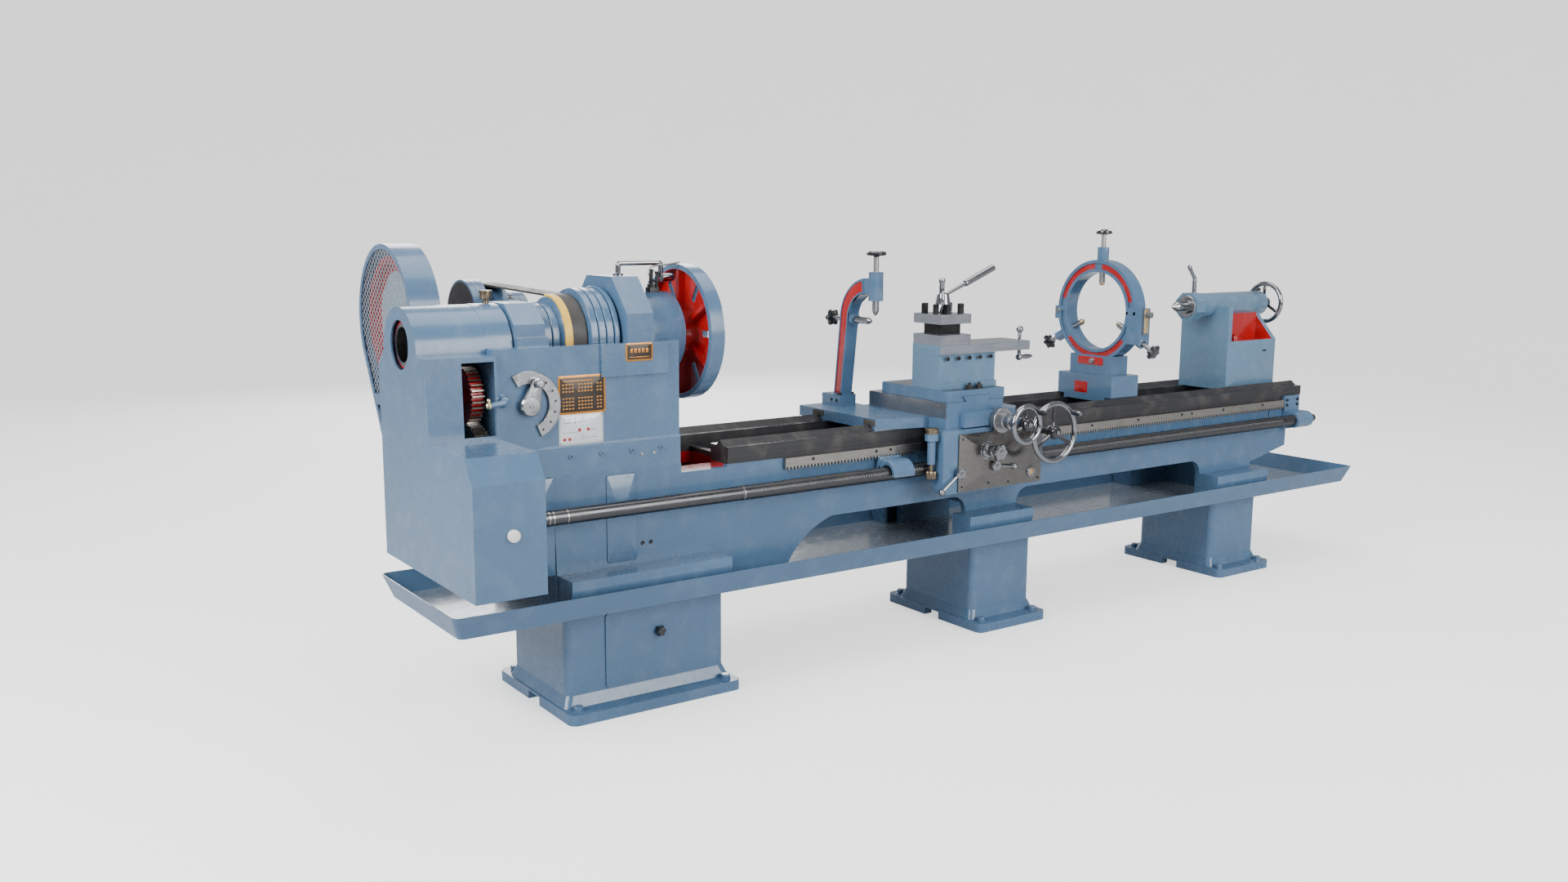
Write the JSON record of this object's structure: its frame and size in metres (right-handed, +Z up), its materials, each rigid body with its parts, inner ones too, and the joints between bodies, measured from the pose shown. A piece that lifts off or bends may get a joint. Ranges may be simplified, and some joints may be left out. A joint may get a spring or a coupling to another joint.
{
  "type": "centre lathe",
  "caption": "Gap-bed centre lathe on cast legs with cone-pulley headstock, carriage with tool post, follow rest, steady rest and tailstock over a long chip tray.",
  "frame": {"origin": "on the floor, under the spindle axis and the middle of the middle leg", "axes": "+X along the bed from the headstock to the tailstock, +Y to the back, +Z up"},
  "size_m": [4.222, 1.28, 1.44],
  "materials": {
    "blue_paint": "semi-gloss",
    "red_paint": "semi-gloss",
    "machined_iron": "ground",
    "bright_steel": "polished",
    "dark_steel": "oiled",
    "black_plastic": "gloss",
    "white_plastic": "gloss",
    "belt_rubber": "matte",
    "mesh_steel": "satin"
  },
  "bodies": {
    "frame": {"leg_left": "blue_paint", "leg_middle": "blue_paint", "leg_right": "blue_paint", "chip_tray": "blue_paint", "bed": "blue_paint", "bed_rack": "machined_iron", "lead_screw_bracket": "blue_paint", "headstock": "blue_paint", "rear_bearing_cap": "blue_paint", "front_bearing_cap": "blue_paint", "countershaft_brackets": "blue_paint", "drive_motor": "blue_paint", "belt_guard": "blue_paint", "belt_guard_mesh": "mesh_steel", "end_guard": "blue_paint", "spindle_belt": "belt_rubber", "drive_belts": "belt_rubber"},
    "spindle": {"spindle": "machined_iron", "cone_pulley": "machined_iron", "face_plate": "machined_iron"},
    "countershaft": {"countershaft_cone": "machined_iron", "driven_pulley": "red_paint"},
    "motor_shaft": {"motor_pulley": "dark_steel"},
    "tumbler_gear": {"tumbler_gear": "red_paint"},
    "change_gear": {"change_gear": "dark_steel"},
    "lead_screw": {"lead_screw": "bright_steel"},
    "thread_dial": {"thread_dial": "bright_steel"},
    "tumbler_lever": {"tumbler_lever": "bright_steel"},
    "quadrant_lever": {"quadrant_lever": "bright_steel"},
    "back_gear_handle": {"back_gear_handle": "bright_steel"},
    "guard_latch": {"guard_latch": "white_plastic"},
    "leg_door": {"leg_door": "blue_paint"},
    "door_knob": {"door_knob": "black_plastic"},
    "carriage": {"saddle": "blue_paint", "apron": "blue_paint", "follow_rest": "blue_paint"},
    "carriage_wheel": {"carriage_handwheel": "bright_steel"},
    "cross_slide": {"cross_slide": "machined_iron", "compound_base": "machined_iron"},
    "cross_wheel": {"cross_handwheel": "bright_steel"},
    "top_slide": {"top_slide": "machined_iron"},
    "crank": {"compound_crank": "bright_steel"},
    "tool_post": {"tool_post": "machined_iron", "tool_screws": "dark_steel"},
    "clamp_handle": {"clamp_handle": "bright_steel"},
    "star_knob": {"star_knob": "black_plastic"},
    "feed_lever": {"feed_lever": "bright_steel"},
    "half_nut_lever": {"half_nut_lever": "bright_steel"},
    "follow_top": {"follow_top_screw": "dark_steel"},
    "follow_side": {"follow_side_screw": "black_plastic"},
    "steady_base": {"steady_rest_base": "blue_paint"},
    "steady_cap": {"steady_rest_cap": "blue_paint"},
    "steady_clamp": {"steady_clamp": "dark_steel"},
    "steady_top_jaw": {"steady_jaw_top": "dark_steel"},
    "steady_back_jaw": {"steady_jaw_back": "black_plastic"},
    "steady_front_jaw": {"steady_jaw_front": "black_plastic"},
    "tailstock": {"tailstock_body": "blue_paint"},
    "quill": {"tailstock_quill": "bright_steel"},
    "tail_wheel": {"tailstock_handwheel": "black_plastic"},
    "quill_lock": {"quill_lock_lever": "bright_steel"}
  },
  "joints": [
    {"name": "spindle_spin", "type": "hinge", "parent": "frame", "child": "spindle", "pos_m": [-1.7, 0, 1.12], "axis": [1, 0, 0], "continuous": true},
    {"name": "countershaft_spin", "type": "hinge", "parent": "frame", "child": "countershaft", "pos_m": [-1.7, 0.52, 1.146], "axis": [1, 0, 0], "continuous": true},
    {"name": "motor_spin", "type": "hinge", "parent": "frame", "child": "motor_shaft", "pos_m": [-1.98, 0.5, 0.806], "axis": [1, 0, 0], "continuous": true},
    {"name": "tumbler_spin", "type": "hinge", "parent": "frame", "child": "tumbler_gear", "pos_m": [-1.998, -0.06, 0.97168], "axis": [1, 0, 0], "continuous": true},
    {"name": "change_spin", "type": "hinge", "parent": "frame", "child": "change_gear", "pos_m": [-1.998, -0.09, 0.779], "axis": [1, 0, 0], "continuous": true},
    {"name": "lead_screw_spin", "type": "hinge", "parent": "frame", "child": "lead_screw", "pos_m": [0, -0.245, 0.63], "axis": [1, 0, 0], "continuous": true},
    {"name": "thread_dial_spin", "type": "hinge", "parent": "carriage", "child": "thread_dial", "pos_m": [-0.446, -0.29, 0.63], "axis": [0, 0, 1], "continuous": true},
    {"name": "tumbler_lever_turn", "type": "hinge", "parent": "frame", "child": "tumbler_lever", "pos_m": [-1.945, -0.18, 0.967], "axis": [0, 1, 0], "range_deg": [-20, 20]},
    {"name": "quadrant_lever_turn", "type": "hinge", "parent": "frame", "child": "quadrant_lever", "pos_m": [-1.867, -0.18, 0.948], "axis": [0, 1, 0], "range_deg": [-35, 35]},
    {"name": "back_gear_handle_turn", "type": "hinge", "parent": "frame", "child": "back_gear_handle", "pos_m": [-1.478, 0, 1.3], "axis": [0, 0, 1], "range_deg": [0, 90]},
    {"name": "guard_latch_turn", "type": "hinge", "parent": "frame", "child": "guard_latch", "pos_m": [-2.061, -0.497, 0.659], "axis": [0, 1, 0], "range_deg": [-90, 90]},
    {"name": "leg_door_hinge", "type": "hinge", "parent": "frame", "child": "leg_door", "pos_m": [-1.64, -0.1925, 0.069], "axis": [0, 0, -1], "range_deg": [0, 100]},
    {"name": "door_knob_turn", "type": "hinge", "parent": "leg_door", "child": "door_knob", "pos_m": [-1.457, -0.195, 0.222], "axis": [0, 1, 0], "range_deg": [-90, 90]},
    {"name": "carriage_slide", "type": "slide", "parent": "frame", "child": "carriage", "axis": [1, 0, 0], "range_m": [-0.55, 0.25]},
    {"name": "carriage_wheel_spin", "type": "hinge", "parent": "carriage", "child": "carriage_wheel", "pos_m": [0.016, -0.325, 0.74], "axis": [0, -1, 0], "range_deg": [-1000, 500]},
    {"name": "cross_slide_travel", "type": "slide", "parent": "carriage", "child": "cross_slide", "axis": [0, 1, 0], "range_m": [-0.05, 0.15]},
    {"name": "cross_wheel_spin", "type": "hinge", "parent": "carriage", "child": "cross_wheel", "pos_m": [-0.175, -0.328, 0.79], "axis": [0, 1, 0], "range_deg": [-3100, 9100]},
    {"name": "top_slide_travel", "type": "slide", "parent": "cross_slide", "child": "top_slide", "axis": [1, 0, 0], "range_m": [-0.04, 0.08]},
    {"name": "crank_spin", "type": "hinge", "parent": "top_slide", "child": "crank", "pos_m": [0.04, -0.1825, 1.034], "axis": [-1, 0, 0], "range_deg": [-3000, 5900]},
    {"name": "tool_post_index", "type": "hinge", "parent": "top_slide", "child": "tool_post", "pos_m": [-0.315, -0.1825, 1.05], "axis": [0, 0, 1], "range_deg": [-90, 90]},
    {"name": "clamp_handle_turn", "type": "hinge", "parent": "top_slide", "child": "clamp_handle", "pos_m": [-0.315, -0.1825, 1.155], "axis": [0, 0, 1], "range_deg": [-90, 0]},
    {"name": "star_knob_turn", "type": "hinge", "parent": "carriage", "child": "star_knob", "pos_m": [-0.225, -0.325, 0.688], "axis": [0, 1, 0], "range_deg": [-60, 60]},
    {"name": "feed_lever_turn", "type": "hinge", "parent": "carriage", "child": "feed_lever", "pos_m": [-0.19, -0.325, 0.632], "axis": [0, 1, 0], "range_deg": [-25, 25]},
    {"name": "half_nut_turn", "type": "hinge", "parent": "carriage", "child": "half_nut_lever", "pos_m": [-0.355, -0.325, 0.62], "axis": [0, 1, 0], "range_deg": [-25, 25]},
    {"name": "follow_top_travel", "type": "slide", "parent": "carriage", "child": "follow_top", "axis": [0, 0, 1], "range_m": [-0.012, 0.01]},
    {"name": "follow_side_travel", "type": "slide", "parent": "carriage", "child": "follow_side", "axis": [0, 1, 0], "range_m": [-0.012, 0.01]},
    {"name": "steady_travel", "type": "slide", "parent": "frame", "child": "steady_base", "axis": [1, 0, 0], "range_m": [-0.1, 0.2]},
    {"name": "steady_cap_hinge", "type": "hinge", "parent": "steady_base", "child": "steady_cap", "pos_m": [0.69, 0.217, 1.112], "axis": [-1, 0, 0], "range_deg": [0, 95]},
    {"name": "steady_clamp_turn", "type": "hinge", "parent": "steady_base", "child": "steady_clamp", "pos_m": [0.69, -0.224, 1.052], "axis": [0, 1, 0], "range_deg": [-90, 90]},
    {"name": "steady_top_jaw_travel", "type": "slide", "parent": "steady_cap", "child": "steady_top_jaw", "axis": [0, 0, 1], "range_m": [-0.04, 0.01]},
    {"name": "steady_back_jaw_travel", "type": "slide", "parent": "steady_base", "child": "steady_back_jaw", "axis": [0, 0.8829, -0.4695], "range_m": [-0.04, 0.01]},
    {"name": "steady_front_jaw_travel", "type": "slide", "parent": "steady_base", "child": "steady_front_jaw", "axis": [0, -0.8829, -0.4695], "range_m": [-0.04, 0.01]},
    {"name": "tailstock_travel", "type": "slide", "parent": "frame", "child": "tailstock", "axis": [1, 0, 0], "range_m": [-0.05, 0.08]},
    {"name": "quill_travel", "type": "slide", "parent": "tailstock", "child": "quill", "axis": [1, 0, 0], "range_m": [-0.1, 0]},
    {"name": "tail_wheel_spin", "type": "hinge", "parent": "tailstock", "child": "tail_wheel", "pos_m": [1.752, 0, 1.12], "axis": [-1, 0, 0], "range_deg": [-7300, 100]},
    {"name": "quill_lock_turn", "type": "hinge", "parent": "tailstock", "child": "quill_lock", "pos_m": [1.262, 0, 1.12], "axis": [0, 0, 1], "range_deg": [-45, 45]}
  ],
  "couplings": [
    {"joint": "countershaft_spin", "follows": "spindle_spin", "ratio": 1.1296},
    {"joint": "motor_spin", "follows": "spindle_spin", "ratio": 4.1353},
    {"joint": "tumbler_spin", "follows": "spindle_spin", "ratio": -1},
    {"joint": "change_spin", "follows": "spindle_spin", "ratio": 0.69565},
    {"joint": "lead_screw_spin", "follows": "spindle_spin", "ratio": -0.8},
    {"joint": "thread_dial_spin", "follows": "spindle_spin", "ratio": -0.084883},
    {"joint": "carriage_wheel_spin", "follows": "carriage_slide", "rad_per_m": 25.133},
    {"joint": "cross_wheel_spin", "follows": "cross_slide_travel", "rad_per_m": 1047.2},
    {"joint": "crank_spin", "follows": "top_slide_travel", "rad_per_m": 1256.6},
    {"joint": "tail_wheel_spin", "follows": "quill_travel", "rad_per_m": 1256.6}
  ]
}
